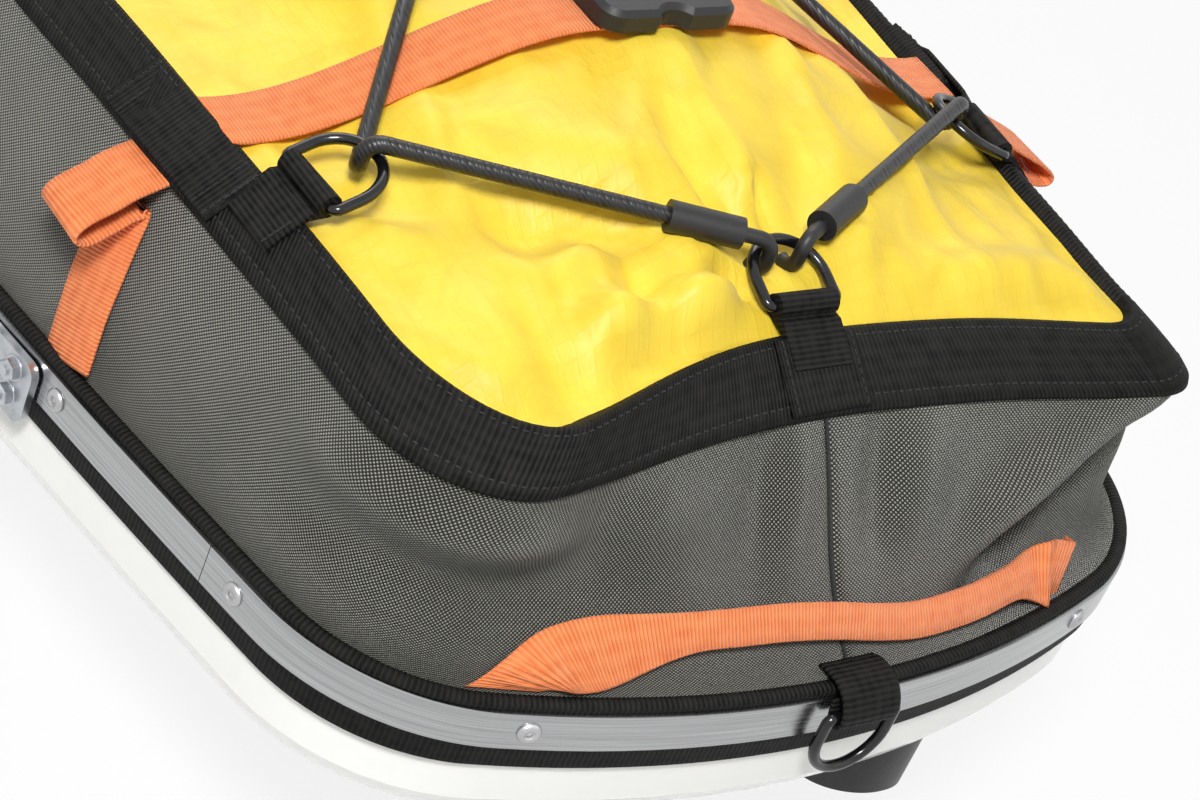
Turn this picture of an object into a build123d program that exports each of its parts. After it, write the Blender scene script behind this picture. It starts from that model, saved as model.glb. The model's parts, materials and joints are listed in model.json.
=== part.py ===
from build123d import *
from collections import namedtuple
import math
import os

# A pulk: a moulded snow sledge with a soft bag riveted to its rim.
# Millimetres, X forward along the keel, Y to the side, Z up, standing on its runners.

# Hull
LENGTH = 1440.0
BEAM = 486.0
RIM_HEIGHT = 140.0
SIDE_RADIUS = 3370.0
END_RADIUS = 410.0
CORNER_RADIUS = 80.0
CORNER_LIMIT = 0.75
WALL = 4.0
RIM_BAND = 42.0
BOW_REACH = 250.0
STERN_REACH = 170.0
BILGE_REACH = 125.0
# Turn of the hull below its upright rim band, as shares: of the drop, of the bow's reach
# inward, of the reach at the stern and the bilges
HULL_TURN = (
    (0.0, 0.0, 0.0),
    (0.10, 0.02, 0.04),
    (0.30, 0.12, 0.20),
    (0.53, 0.27, 0.38),
    (0.74, 0.46, 0.57),
    (0.90, 0.70, 0.77),
    (1.0, 1.0, 1.0),
)

# Runners
RUNNER_DEPTH = 12.0
RUNNER_WIDTH = 40.0
RUNNER_TRACK = 144.0
RUNNER_SWEEP_FRONT = 280.0
RUNNER_SWEEP_REAR = 220.0
RUNNER_TIP_SETBACK = 18.0
RUNNER_TIP_RISE = 52.0
RUNNER_TAIL_SETBACK = 70.0
RUNNER_TAIL_RISE = 28.0
RUNNER_SINK = 40.0
RUNNER_ROUND = 19.0

# Rim: bound edge of the bag, clamped by a riveted aluminium strip in four lengths
BINDING_THICK = 1.5
BINDING_WIDTH = 25.0
STRIP_THICK = 2.0
STRIP_WIDTH = 15.0
STRIP_SPLIT = 106.0
STRIP_GAP = 0.6
RIM_FIT = 0.2

# Bag and cover by level: rise over the rim, setback at the ends and inset at the sides from it,
# radii of the corners, the ends and the sides; an end of negative radius is hollow
Level = namedtuple("Level", "rise setback inset corner end_radius side_radius")
BAG = {
    "rim": Level(0.0, 0.0, 0.0, CORNER_RADIUS, END_RADIUS, SIDE_RADIUS),
    "skirt": Level(11.0, 20.0, 7.0, 70.0, 470.0, 3700.0),
    "hem_low": Level(68.0, 62.0, 50.0, 36.0, -740.0, 7000.0),
    "hem_top": Level(82.0, 83.0, 66.0, 32.0, -600.0, 7000.0),
    "cover_low": Level(85.0, 142.0, 0.2 * BEAM, 32.0, -740.0, 7000.0),
    "cover_mid": Level(98.0, 190.0, 0.26 * BEAM, 36.0, -900.0, 7000.0),
    "crown": Level(122.0, 260.0, 0.39 * BEAM, 30.0, 900.0, 7000.0),
}
FABRIC = 4.0
COVER_THICK = 3.0
HEM_THICK = 3.0

# Webbing, straps and buckles
WEBBING = 25.0
WEBBING_THICK = 2.2
CLEARANCE = 0.3
STRAP_NAMES = ("front", "mid_front", "mid_rear", "rear")
STRAP_APART = 43.0
TUNNEL_WIDTH = 40.0
BUCKLE_LENGTH = 58.0
BUCKLE_WIDTH = 36.0
BUCKLE_THICK = 8.0

# D-rings and the loops that hold them
RING_ROD = 2.0
RING_HALF_WIDTH = 15.0
RING_DEPTH = 25.0
RING_CORNER = 2.4
RING_SHARES = (0.764, 0.254, -0.254, -0.764)
LOOP_IN = 7.0
LOOP_UP = 8.0
LOOP_TAIL = 13.0
RING_TILT = 20.0
RIM_RING_DROP = 4.0
PIN_FIT = 0.1

# Elastic cords
CORD_RADIUS = 3.0
HOOK_RADIUS = 2.6
HOOK_SPREAD = 7.0
HOOK_TAIL = 7.0
HOOK_SHANK = 12.0
FERRULE_RADIUS = 5.5
FERRULE_LENGTH = 26.0
CORD_SLACK = 1.0
CORD_DIP = 2.5
CROWN_MARGIN = 28.0
CROSSING_REACH = 22.0

# Carrying handles
HANDLE_HALF_SPAN = 124.0
HANDLE_RISE = 25.0
HANDLE_SETBACK = 8.0

# Shaft brackets
BRACKET_SHARE = 0.642
BRACKET_LENGTH = 92.0
BRACKET_AFT = 30.0
BRACKET_HEIGHT = 24.0
BRACKET_DROP = 2.0
PLATE_THICK = 3.0
PLATE_CORNER = 5.0
LUG_DROP = 16.0
LUG_RADIUS = 11.0
PIVOT_OUT = 17.0
BOLT_RADIUS = 3.0
HEX_ACROSS = 10.0
HEAD_THICK = 4.0
NUT_THICK = 5.0
LINK_RADIUS = 9.0
LINK_REACH = 60.0
LINK_EYE_RADIUS = 4.25

HALF_LENGTH = LENGTH / 2
HALF_BEAM = BEAM / 2
HULL_FLOOR = RUNNER_DEPTH
STRIP_INNER = 2 * RIM_FIT + BINDING_THICK
STRIP_OUTER = STRIP_INNER + STRIP_THICK
RING_STATIONS = [HALF_LENGTH * share for share in RING_SHARES]
STRAP_STATIONS = [x - math.copysign(STRAP_APART, x) for x in RING_STATIONS]
BRACKET_STATION = HALF_LENGTH * BRACKET_SHARE
UP = Vector(0, 0, 1)


def side_half(inset, x, radius=SIDE_RADIUS):
    """Half breadth at x of an outline that lies inset from the rim amidships."""
    return HALF_BEAM - inset - radius + math.sqrt(radius**2 - x**2)


def level_half(name, x):
    level = BAG[name]
    return side_half(level.inset, x, level.side_radius)


def end_reach(setback, y):
    """Distance from amidships at y of an outline's end that lies set back from the rim."""
    return HALF_LENGTH - setback - END_RADIUS + math.sqrt(END_RADIUS**2 - y**2)


def arcs_meet(end, half, end_radius, side_radius):
    """Corner where the arc of an end, at x = end on the centre line, meets the arc of a side."""
    end_centre = end - end_radius
    side_centre = half - side_radius
    apart = math.hypot(end_centre, side_centre)
    along = (apart**2 + end_radius**2 - side_radius**2) / (2 * apart)
    across = math.copysign(math.sqrt(end_radius**2 - along**2), end_radius)
    ux, uy = -end_centre / apart, side_centre / apart
    return end_centre + along * ux - across * uy, along * uy + across * ux


def outline(front_setback, rear_setback, inset, z, corner, end_radius, side_radius):
    """Rim-shaped face at height z: two end arcs, two side arcs and four rounded corners."""
    half = HALF_BEAM - inset
    front, rear = HALF_LENGTH - front_setback, HALF_LENGTH - rear_setback
    fx, fy = arcs_meet(front, half, end_radius, side_radius)
    rx, ry = arcs_meet(rear, half, end_radius, side_radius)
    edges = [
        ThreePointArc((fx, -fy), (front, 0), (fx, fy)),
        ThreePointArc((fx, fy), (0, half), (-rx, ry)),
        ThreePointArc((-rx, ry), (-rear, 0), (-rx, -ry)),
        ThreePointArc((-rx, -ry), (0, -half), (fx, -fy)),
    ]
    flat = make_face(edges)
    return Pos(0, 0, z) * fillet(flat.vertices(), min(corner, CORNER_LIMIT * fy, CORNER_LIMIT * ry))


def rim_outline(grow, z):
    radii = (CORNER_RADIUS + grow, END_RADIUS + grow, SIDE_RADIUS + grow)
    return outline(-grow, -grow, -grow, z, *radii)


def rim_ring(inner, outer, low, high):
    """Upright band round the rim between two growths of its outline."""
    return extrude(rim_outline(outer, low), high - low) - extrude(rim_outline(inner, low), high - low)


def hull_body(skin):
    """Filled hull, drawn in by skin from its outer face."""
    turn_top = RIM_HEIGHT - RIM_BAND
    drop = turn_top - HULL_FLOOR
    radii = (CORNER_RADIUS - skin, END_RADIUS - skin, SIDE_RADIUS - skin)
    levels = []
    for fall, bow, turn in HULL_TURN:
        inward = (BOW_REACH * bow + skin, STERN_REACH * turn + skin, BILGE_REACH * turn + skin)
        levels.append(outline(*inward, turn_top - (drop - skin) * fall, *radii))
    return loft(levels) + extrude(rim_outline(-skin, turn_top), RIM_BAND)


def bag_outline(name, draw_in=0.0):
    level = BAG[name]
    inward = (level.setback + draw_in, level.setback + draw_in, level.inset + draw_in)
    radii = (level.corner - draw_in, level.end_radius - draw_in, level.side_radius - draw_in)
    return outline(*inward, RIM_HEIGHT + level.rise, *radii)


def bag_stack(names, draw_in=0.0):
    return loft([bag_outline(name, draw_in) for name in names], ruled=True)


def half_space(side):
    """Block that covers everything on one side of the keel."""
    size = 2 * LENGTH
    return Pos(0, side * size / 2, 0) * Box(size, size, size)


def ribbon(sections):
    """Flat band through sections of (under point, top point, width vector)."""
    wires = []
    for under, top, width in sections:
        corners = [under - width / 2, under + width / 2, top + width / 2, top - width / 2]
        wires.append(Wire.make_polygon(corners, close=True))
    first, *others = [Solid.make_loft(pair, ruled=True) for pair in zip(wires, wires[1:])]
    return first.fuse(*others) if others else first


def tangent_at(x, side, radius=SIDE_RADIUS):
    slope = -side * x / math.sqrt(radius**2 - x**2)
    return Vector(1, slope, 0).normalized()


def offset_chain(points, distance):
    """Chain of (outward, up) points moved to its upper side by a distance, mitred at its corners."""
    moved = []
    for index, point in enumerate(points):
        before = points[max(index - 1, 0)]
        after = points[min(index + 1, len(points) - 1)]
        normals = []
        for start, end in ((before, point), (point, after)):
            span = math.hypot(end[0] - start[0], end[1] - start[1])
            if span > 0:
                normals.append(((end[1] - start[1]) / span, (start[0] - end[0]) / span))
        nx = sum(normal[0] for normal in normals)
        ny = sum(normal[1] for normal in normals)
        scale = distance * len(normals) / (nx**2 + ny**2)
        moved.append((point[0] + nx * scale, point[1] + ny * scale))
    return moved


def side_chain(levels, x):
    """Section of the bag at x through the named levels, as (outward, up) points."""
    return [(level_half(name, x), RIM_HEIGHT + BAG[name].rise) for name in levels]


def side_band(levels, x, side, low, high, width):
    """Sections of a band that lies on the bag's side from low to high above its surface."""
    chain = side_chain(levels, x)
    under, over = offset_chain(chain, low), offset_chain(chain, high)
    sections = []
    for name, (low_out, low_up), (high_out, high_up) in zip(levels, under, over):
        across = tangent_at(x, side, BAG[name].side_radius) * width
        sections.append((Vector(x, side * low_out, low_up), Vector(x, side * high_out, high_up), across))
    return sections


def strap(x, grow=0.0):
    """Compression strap from rim to rim, lying on the bag and the cover."""
    low, high = CLEARANCE - grow, CLEARANCE + WEBBING_THICK + grow
    width = WEBBING + 2 * grow
    levels = tuple(BAG)
    left = side_band(levels, x, -1, low, high, width)
    right = side_band(levels, x, 1, low, high, width)
    crown = RIM_HEIGHT + BAG["crown"].rise
    middle = (Vector(x, 0, crown + low), Vector(x, 0, crown + high), Vector(width, 0, 0))
    return ribbon(left + [middle] + right[::-1])


def hem_station(x, side):
    """Frame on the hem's upper edge at a side: X along the edge, Y inward over the cover."""
    edge = BAG["hem_top"]
    place = (x, side * level_half("hem_top", x), RIM_HEIGHT + edge.rise)
    return Plane(place, x_dir=tangent_at(x, side, edge.side_radius) * -side, z_dir=UP)


def hem_end_station(end):
    """Frame on the hem's upper edge at the centre of an end."""
    edge = BAG["hem_top"]
    place = (end * (HALF_LENGTH - edge.setback), 0, RIM_HEIGHT + edge.rise)
    return Plane(place, x_dir=(0, end, 0), z_dir=UP)


def d_ring():
    """D-ring with its bar on X and its bow towards +Y."""
    half, depth, corner = RING_HALF_WIDTH, RING_DEPTH, RING_CORNER
    bow = depth - half
    turn = corner * (1 - math.sqrt(0.5))
    path = Wire([
        Edge.make_line((-half + corner, 0), (half - corner, 0)),
        Edge.make_three_point_arc((half - corner, 0), (half - turn, turn), (half, corner)),
        Edge.make_line((half, corner), (half, bow)),
        Edge.make_three_point_arc((half, bow), (0, depth), (-half, bow)),
        Edge.make_line((-half, bow), (-half, corner)),
        Edge.make_three_point_arc((-half, corner), (-half + turn, turn), (-half + corner, 0)),
    ])
    return sweep(Plane(path @ 0, z_dir=path % 0) * Circle(RING_ROD), path)


def loop_eye(tail):
    """Folded webbing in the YZ plane: an eye round the origin and a tail of (y, z) points."""
    eye = Circle(RING_ROD + PIN_FIT + WEBBING_THICK)
    folded = eye + make_face(Polyline(*tail, close=True)) - Circle(RING_ROD + PIN_FIT)
    return extrude(Plane.YZ * folded, WEBBING / 2, both=True)


def hem_loop(slope):
    """Loop on the hem's edge, where the hem falls outward by slope, with its eye at the origin."""
    flat = HEM_THICK + CLEARANCE - LOOP_UP
    outer = -LOOP_IN - LOOP_TAIL
    fall = flat - LOOP_TAIL * slope
    thick = WEBBING_THICK * 1.2
    tail = [(outer, fall), (-LOOP_IN, flat), (0, -RING_ROD - WEBBING_THICK)]
    tail += [(0, -RING_ROD), (-LOOP_IN, flat + thick), (outer, fall + thick)]
    return loop_eye(tail)


HEM_RISE = BAG["hem_top"].rise - BAG["hem_low"].rise
SIDE_SLOPE = HEM_RISE / (BAG["hem_top"].inset - BAG["hem_low"].inset)
END_SLOPE = HEM_RISE / (BAG["hem_top"].setback - BAG["hem_low"].setback)


EYE = Pos(0, LOOP_IN, LOOP_UP)
TILT = Rot(RING_TILT, 0, 0)


def bow_point(station, aside=0.0):
    """Centre of a hem ring's rod on its bow, aside from its middle."""
    out = RING_DEPTH - RING_HALF_WIDTH + math.sqrt(RING_HALF_WIDTH**2 - aside**2)
    tilt = math.radians(RING_TILT)
    local = Vector(aside, LOOP_IN + out * math.cos(tilt), LOOP_UP + out * math.sin(tilt))
    return station.from_local_coords(local)


def wrap(station, rod, aside=0.0):
    """Upper and lower corner of a turn round a ring's bow, for a rod of that radius."""
    reach = RING_ROD + rod + CORD_SLACK
    centre = bow_point(station, aside)
    outward = station.y_dir * -reach
    return centre + outward + UP * reach, centre + outward - UP * (reach + CORD_DIP)


def tube(points, radii, radius):
    path = FilletPolyline(*points, radius=radii)
    return sweep(Plane(path @ 0, z_dir=path % 0) * Circle(radius), path)


def gentle_radii(points):
    """Largest radius that the two runs beside each inner point allow."""
    radii = []
    for before, point, after in zip(points, points[1:], points[2:]):
        shorter = min((point - before).length, (after - point).length)
        turn = math.radians((point - before).get_angle(after - point))
        radii.append(0.45 * shorter / math.tan(turn / 2))
    return radii


def hooked_end(station, target, aside):
    """Hook on an end ring that points at the target: the solid, and where its cord begins."""
    upper, lower = wrap(station, HOOK_RADIUS, aside)
    pull = (target - upper).normalized()
    ferrule = upper + pull * HOOK_SHANK
    tail = lower + station.y_dir * HOOK_TAIL
    turn = RING_ROD + HOOK_RADIUS + CORD_SLACK - PIN_FIT
    hook = tube([ferrule, upper, lower, tail], [turn, turn], HOOK_RADIUS)
    hook += extrude(Plane(ferrule, z_dir=pull) * Circle(FERRULE_RADIUS), FERRULE_LENGTH)
    return hook, ferrule + pull * FERRULE_LENGTH


def crossing(lower, upper, lifts):
    """Points of a cord over the cover from one ring to the next, lifted where it crosses a cord."""
    crown = RIM_HEIGHT + BAG["crown"].rise + CLEARANCE + WEBBING_THICK
    edges = [level_half("crown", ring.X) + CROWN_MARGIN for ring in (lower, upper)]
    marks = [(math.copysign(edges[0], lower.Y), lifts[0])]
    marks += [(math.copysign(CROSSING_REACH, ring.Y), lift) for lift in lifts[1:] for ring in (lower, upper)]
    marks.append((math.copysign(edges[1], upper.Y), lifts[0]))
    points = []
    for y, lift in marks:
        share = (y - lower.Y) / (upper.Y - lower.Y)
        points.append(Vector(lower.X + share * (upper.X - lower.X), y, crown + lift))
    return points


def laced_cord(first_side, lifts):
    """Cord laced from the front ring to the rear ring, with its two hooks."""
    sides = [first_side * (-1) ** index for index in range(len(RING_STATIONS))]
    stations = [hem_station(x, side) for x, side in zip(RING_STATIONS, sides)]
    turns = [wrap(station, CORD_RADIUS) for station in stations]
    front, start = hooked_end(hem_end_station(1), turns[0][0], first_side * HOOK_SPREAD)
    rear, finish = hooked_end(hem_end_station(-1), turns[-1][1], sides[-1] * -HOOK_SPREAD)
    points, fixed = [start], {}
    for index, (upper, lower) in enumerate(turns):
        fixed[len(points)] = fixed[len(points) + 1] = RING_ROD + CORD_RADIUS + CORD_SLACK - PIN_FIT
        points += [upper, lower]
        if index + 1 < len(turns):
            points += crossing(lower, turns[index + 1][0], lifts)
    points.append(finish)
    radii = [fixed.get(index + 1, radius) for index, radius in enumerate(gentle_radii(points))]
    return tube(points, radii, CORD_RADIUS), [front, rear]


def handle(end):
    """Carrying handle across an end: webbing sewn in at the rim on each side, edge-on in its middle."""
    near, far = HANDLE_HALF_SPAN / 4, HANDLE_HALF_SPAN * 3 / 4
    base = CLEARANCE + WEBBING_THICK / 2
    slant = WEBBING * math.sqrt(0.5)
    # Distance from the centre, rise over the rim, proud of the rim, width as (out, across, up)
    places = (
        (HANDLE_HALF_SPAN, CLEARANCE, base, (0, 2 * slant, 0)),
        (far, HANDLE_RISE, 0, (0, slant, slant)),
        (near, HANDLE_RISE, -HANDLE_SETBACK, (slant, 0, slant)),
    )
    halves = []
    for side in (1, -1):
        half = []
        for across, rise, proud, (w_out, w_across, w_up) in places:
            lie = math.asin(across / END_RADIUS)
            away = Vector(end * math.cos(lie), side * math.sin(lie), 0)
            along = Vector(-end * math.sin(lie), side * math.cos(lie), 0)
            middle = Vector(end * end_reach(0, across), side * across, RIM_HEIGHT + rise) + away * proud
            facing = (away - UP).normalized() if w_out else away
            skin = facing * (WEBBING_THICK / 2)
            half.append((middle - skin, middle + skin, (away * w_out + along * w_across + UP * w_up) * side))
        halves.append(half)
    return ribbon(halves[0] + halves[1][::-1])


def rim_ring_axis(end):
    """Hinge point of the ring that hangs on the rim at an end."""
    eye = RING_ROD + PIN_FIT + WEBBING_THICK
    out = HALF_LENGTH + STRIP_OUTER + CLEARANCE + eye
    return Vector(end * out, 0, RIM_HEIGHT - RIM_RING_DROP)


def rim_loop(end):
    """Webbing that comes over the strip and is folded round the bar of the rim's ring."""
    axis = rim_ring_axis(end)
    inner = HALF_LENGTH - abs(axis.X)
    face = inner + STRIP_OUTER + CLEARANCE
    over = RIM_HEIGHT + CLEARANCE - axis.Z
    outer, top = face + WEBBING_THICK, over + WEBBING_THICK
    tail = [(face, 0), (face, over), (inner, over), (inner, top), (outer, top), (outer, 0)]
    return Pos(axis) * Rot(0, 0, -90 if end > 0 else 90) * loop_eye(tail)


def hanging_ring(end):
    return Pos(rim_ring_axis(end)) * Rot(0, 0, 90) * Rot(-90, 0, 0) * d_ring()


def bracket_frame():
    """Frame on the strip's outer face at the right bracket: X forward, Y outward, at the rim's top."""
    x = BRACKET_STATION
    outer = side_half(-STRIP_OUTER - CLEARANCE, x)
    return Plane((x, outer, RIM_HEIGHT), x_dir=tangent_at(x, 1), z_dir=UP)


def bracket():
    """Bracket plate along the rim with a level lug for the pivot bolt."""
    low, aft = -BRACKET_DROP - BRACKET_HEIGHT, -BRACKET_AFT
    middle = Pos(aft + BRACKET_LENGTH / 2, 0, low + BRACKET_HEIGHT / 2)
    face = Rot(-90, 0, 0) * RectangleRounded(BRACKET_LENGTH, BRACKET_HEIGHT, PLATE_CORNER)
    plate = extrude(middle * face, PLATE_THICK, dir=(0, 1, 0))
    tab = Pos(0, PIVOT_OUT / 2) * Rectangle(2 * LUG_RADIUS, PIVOT_OUT) + Pos(0, PIVOT_OUT) * Circle(LUG_RADIUS)
    tab -= Pos(0, PIVOT_OUT) * Circle(BOLT_RADIUS + PIN_FIT)
    return plate + Pos(0, 0, -LUG_DROP) * extrude(tab, PLATE_THICK)


def link():
    """Draw link on the pivot bolt, folded back along the hull, with an eye for the shaft."""
    blade = Pos(-LINK_REACH / 2, 0) * SlotCenterToCenter(LINK_REACH, 2 * LINK_RADIUS)
    blade -= Circle(BOLT_RADIUS + PIN_FIT / 2)
    blade -= Pos(-LINK_REACH, 0) * Circle(LINK_EYE_RADIUS)
    return Pos(0, PIVOT_OUT, PLATE_THICK + CLEARANCE - LUG_DROP) * extrude(blade, PLATE_THICK)


def pivot_bolt():
    """Pivot bolt through the lug and the link, with its head above and its nut below."""
    hexagon = RegularPolygon(HEX_ACROSS / 2, 6, major_radius=False)
    head_low = 2 * (PLATE_THICK + CLEARANCE) - LUG_DROP
    nut_low = -LUG_DROP - NUT_THICK
    shank = Pos(0, 0, nut_low) * extrude(Circle(BOLT_RADIUS), head_low - nut_low)
    head = Pos(0, 0, head_low) * extrude(hexagon, HEAD_THICK)
    nut = Pos(0, 0, nut_low) * extrude(hexagon, NUT_THICK)
    return Pos(0, PIVOT_OUT, 0) * (shank + head + nut)


def runner(hull_outside):
    """Right-hand sole: level underfoot, swept up at both ends, seated on the hull's underside."""
    tip = (HALF_LENGTH - RUNNER_TIP_SETBACK, RUNNER_TIP_RISE)
    tail = (-HALF_LENGTH + RUNNER_TAIL_SETBACK, RUNNER_TAIL_RISE)
    level = Line((RUNNER_SWEEP_REAR - HALF_LENGTH, 0), (HALF_LENGTH - RUNNER_SWEEP_FRONT, 0))
    rise_front = TangentArc(level @ 1, tip, tangent=(1, 0))
    rise_rear = TangentArc(level @ 0, tail, tangent=(-1, 0))
    top = Polyline(rise_front @ 1, rise_front @ 1 + (0, RUNNER_SINK),
                   rise_rear @ 1 + (0, RUNNER_SINK), rise_rear @ 1)
    side = Plane.XZ * make_face([level, rise_front, top, rise_rear])
    blank = extrude(side, RUNNER_WIDTH / 2, both=True)
    plan = RectangleRounded(tip[0] - tail[0], RUNNER_WIDTH, RUNNER_ROUND)
    blank &= Pos((tip[0] + tail[0]) / 2, 0, 0) * extrude(plan, RIM_HEIGHT)
    return Pos(0, RUNNER_TRACK / 2, 0) * blank - hull_outside


def buckle(x):
    """Side-release buckle on the middle of a strap."""
    top = RIM_HEIGHT + BAG["crown"].rise + 2 * CLEARANCE + WEBBING_THICK
    body = extrude(RectangleRounded(BUCKLE_WIDTH, BUCKLE_LENGTH, BUCKLE_THICK), BUCKLE_THICK)
    grip = BUCKLE_THICK / 2
    for side in (-1, 1):
        body -= Pos(side * (BUCKLE_WIDTH / 2 + grip), 0, BUCKLE_THICK / 2) * Cylinder(2 * grip, 2 * BUCKLE_THICK)
    body = chamfer(body.faces().sort_by(Axis.Z)[-1].edges(), BUCKLE_THICK / 4)
    return Pos(x, 0, top) * body


nodes = {}

hull_outside = hull_body(0)
nodes["hull"] = hull_outside - hull_body(WALL)
right_runner = runner(hull_outside)
nodes["runner_right"] = right_runner
nodes["runner_left"] = mirror(right_runner, about=Plane.XZ)

binding_outer = RIM_FIT + BINDING_THICK
nodes["rim_binding"] = rim_ring(RIM_FIT, binding_outer, RIM_HEIGHT - BINDING_WIDTH, RIM_HEIGHT)
strip_ring = rim_ring(STRIP_INNER, STRIP_OUTER, RIM_HEIGHT - STRIP_WIDTH, RIM_HEIGHT)
split = HALF_LENGTH - STRIP_SPLIT
middle_block = Box(2 * split, 2 * BEAM, 4 * RIM_HEIGHT)
end_block = Box(2 * STRIP_SPLIT - STRIP_GAP, 2 * BEAM, 4 * RIM_HEIGHT)
for name, end in (("front", 1), ("rear", -1)):
    nodes["rim_strip_" + name] = strip_ring & Pos(end * HALF_LENGTH, 0, 0) * end_block
for name, side in (("left", -1), ("right", 1)):
    nodes["rim_strip_" + name] = strip_ring & middle_block & half_space(side)

wall_levels = ("rim", "skirt", "hem_low", "hem_top")
bag = bag_stack(wall_levels) - bag_stack(wall_levels, FABRIC)
for name, side in (("left", -1), ("right", 1)):
    nodes["bag_" + name] = bag & half_space(side)

cover_dome = bag_stack(("hem_top", "cover_low", "cover_mid", "crown"))
nodes["cover"] = cover_dome - Pos(0, 0, -COVER_THICK) * cover_dome

hem_body = bag_stack(("hem_low", "hem_top"))
hem = Pos(0, 0, HEM_THICK) * hem_body - hem_body - extrude(bag_outline("hem_top"), HEM_THICK)
tunnel_top = WEBBING_THICK + 2 * CLEARANCE + HEM_THICK
for name, x in zip(STRAP_NAMES, STRAP_STATIONS):
    for side in (-1, 1):
        hem += ribbon(side_band(("hem_low", "hem_top"), x, side, CLEARANCE, tunnel_top, TUNNEL_WIDTH))
    hem -= strap(x, 2 * CLEARANCE)
    nodes["strap_" + name] = strap(x)
    nodes["buckle_" + name] = buckle(x)
nodes["hem_band"] = hem

loops, rings = [], []
for x in RING_STATIONS:
    for side in (-1, 1):
        station = hem_station(x, side).location
        loops.append(station * EYE * hem_loop(SIDE_SLOPE))
        rings.append(station * EYE * TILT * d_ring())
for end in (1, -1):
    station = hem_end_station(end).location
    loops.append(station * EYE * hem_loop(END_SLOPE))
    rings.append(station * EYE * TILT * d_ring())
nodes["hem_loops"] = Compound(children=loops)
nodes["hem_rings"] = Compound(children=rings)

hooks = []
over_strap = CLEARANCE + CORD_RADIUS
over_cord = over_strap + 2 * CORD_RADIUS + CLEARANCE
for name, side, lifts in (("a", -1, [over_strap]), ("b", 1, [over_strap, over_cord])):
    nodes["cord_" + name], pair = laced_cord(side, lifts)
    hooks += pair
nodes["cord_hooks"] = Compound(children=hooks)

for name, end in (("front", 1), ("rear", -1)):
    nodes["handle_" + name] = handle(end)
    nodes["rim_loop_" + name] = rim_loop(end)
    nodes["rim_ring_" + name] = hanging_ring(end)

frame = bracket_frame().location
for name, piece in (("bracket", bracket()), ("link", link()), ("pivot_bolt", pivot_bolt())):
    nodes[name + "_right"] = frame * piece
    nodes[name + "_left"] = mirror(frame * piece, about=Plane.XZ)

os.makedirs("parts", exist_ok=True)
for name, shape in nodes.items():
    export_step(shape, f"parts/{name}.step")
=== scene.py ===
import json
import math

import bmesh
import bpy
from mathutils import Matrix, Vector, noise
from mathutils.bvhtree import BVHTree


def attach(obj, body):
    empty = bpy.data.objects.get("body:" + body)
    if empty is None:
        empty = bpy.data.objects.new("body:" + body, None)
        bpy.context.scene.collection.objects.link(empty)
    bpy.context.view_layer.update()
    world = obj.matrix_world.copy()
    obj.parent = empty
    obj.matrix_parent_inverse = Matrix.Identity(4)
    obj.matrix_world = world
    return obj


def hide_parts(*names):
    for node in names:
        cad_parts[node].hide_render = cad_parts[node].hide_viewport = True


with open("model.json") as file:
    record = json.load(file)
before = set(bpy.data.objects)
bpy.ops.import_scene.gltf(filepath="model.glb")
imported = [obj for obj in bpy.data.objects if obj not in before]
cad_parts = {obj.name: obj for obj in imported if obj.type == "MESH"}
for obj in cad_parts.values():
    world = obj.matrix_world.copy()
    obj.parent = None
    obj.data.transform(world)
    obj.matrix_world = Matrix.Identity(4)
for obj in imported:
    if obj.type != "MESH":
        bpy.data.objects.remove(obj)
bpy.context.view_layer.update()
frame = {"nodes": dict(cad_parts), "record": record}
NODES = frame["nodes"]
scene = bpy.context.scene
MM = 0.001

# The part's own values, in millimetres
HALF_LENGTH, HALF_BEAM, RIM = 720.0, 243.0, 140.0
END_RADIUS, SIDE_RADIUS = 410.0, 3370.0
LEVELS = {  # rise, setback, inset, end radius, side radius
    "rim": (0.0, 0.0, 0.0, END_RADIUS, SIDE_RADIUS),
    "skirt": (11.0, 20.0, 7.0, 470.0, 3700.0),
    "hem_low": (68.0, 62.0, 50.0, -740.0, 7000.0),
    "hem_top": (82.0, 83.0, 66.0, -600.0, 7000.0),
}
CORNERS = {  # radius at the front right, rear right, rear left and front left corner
    "rim": (80.0, 80.0, 80.0, 80.0),
    "skirt": (70.0, 70.0, 70.0, 70.0),
    "hem_low": (16.0, 34.0, 30.0, 46.0),
    "hem_top": (13.0, 28.0, 25.0, 42.0),
}
SKIRT_RISE, SKIRT_BACK = LEVELS["skirt"][:2]
LOW_RISE, LOW_BACK = LEVELS["hem_low"][:2]
TOP_RISE = LEVELS["hem_top"][0]
STRIP_OUTER, STRIP_MIDDLE = 3.9, 7.5
RINGS = [HALF_LENGTH * share for share in (0.764, 0.254, -0.254, -0.764)]
RING_TO_STRAP = 43.0
STRAPS = [x - math.copysign(RING_TO_STRAP, x) for x in RINGS]
STRAP_NAMES = ("front", "mid_front", "mid_rear", "rear")
ENDS = (("front", 1), ("rear", -1))
WEBBING, WEBBING_THICK = 25.0, 1.5
CLOTH_THICK, COVER_THICK = 1.2, 0.8
HEM_THICK = 3.2
FAR_ABOVE = 900.0
UP = Vector((0, 0, 1))


def smooth(low, high, value):
    t = max(0.0, min(1.0, (value - low) / (high - low)))
    return t * t * (3 - 2 * t)


def bump(value, centre, width):
    return math.exp(-(((value - centre) / width) ** 2))


def rough(x, y, z):
    return noise.noise(Vector((x, y, z)))


# Materials


def nodes_of(name):
    mat = bpy.data.materials.new(name)
    mat.use_nodes = True
    tree = mat.node_tree
    return mat, tree, tree.nodes["Principled BSDF"]


def add(tree, kind, inputs=None, **props):
    made = tree.nodes.new(kind)
    for key, value in props.items():
        setattr(made, key, value)
    for key, value in (inputs or {}).items():
        if isinstance(value, bpy.types.NodeSocket):
            tree.links.new(value, made.inputs[key])
        else:
            made.inputs[key].default_value = value
    return made


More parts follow.
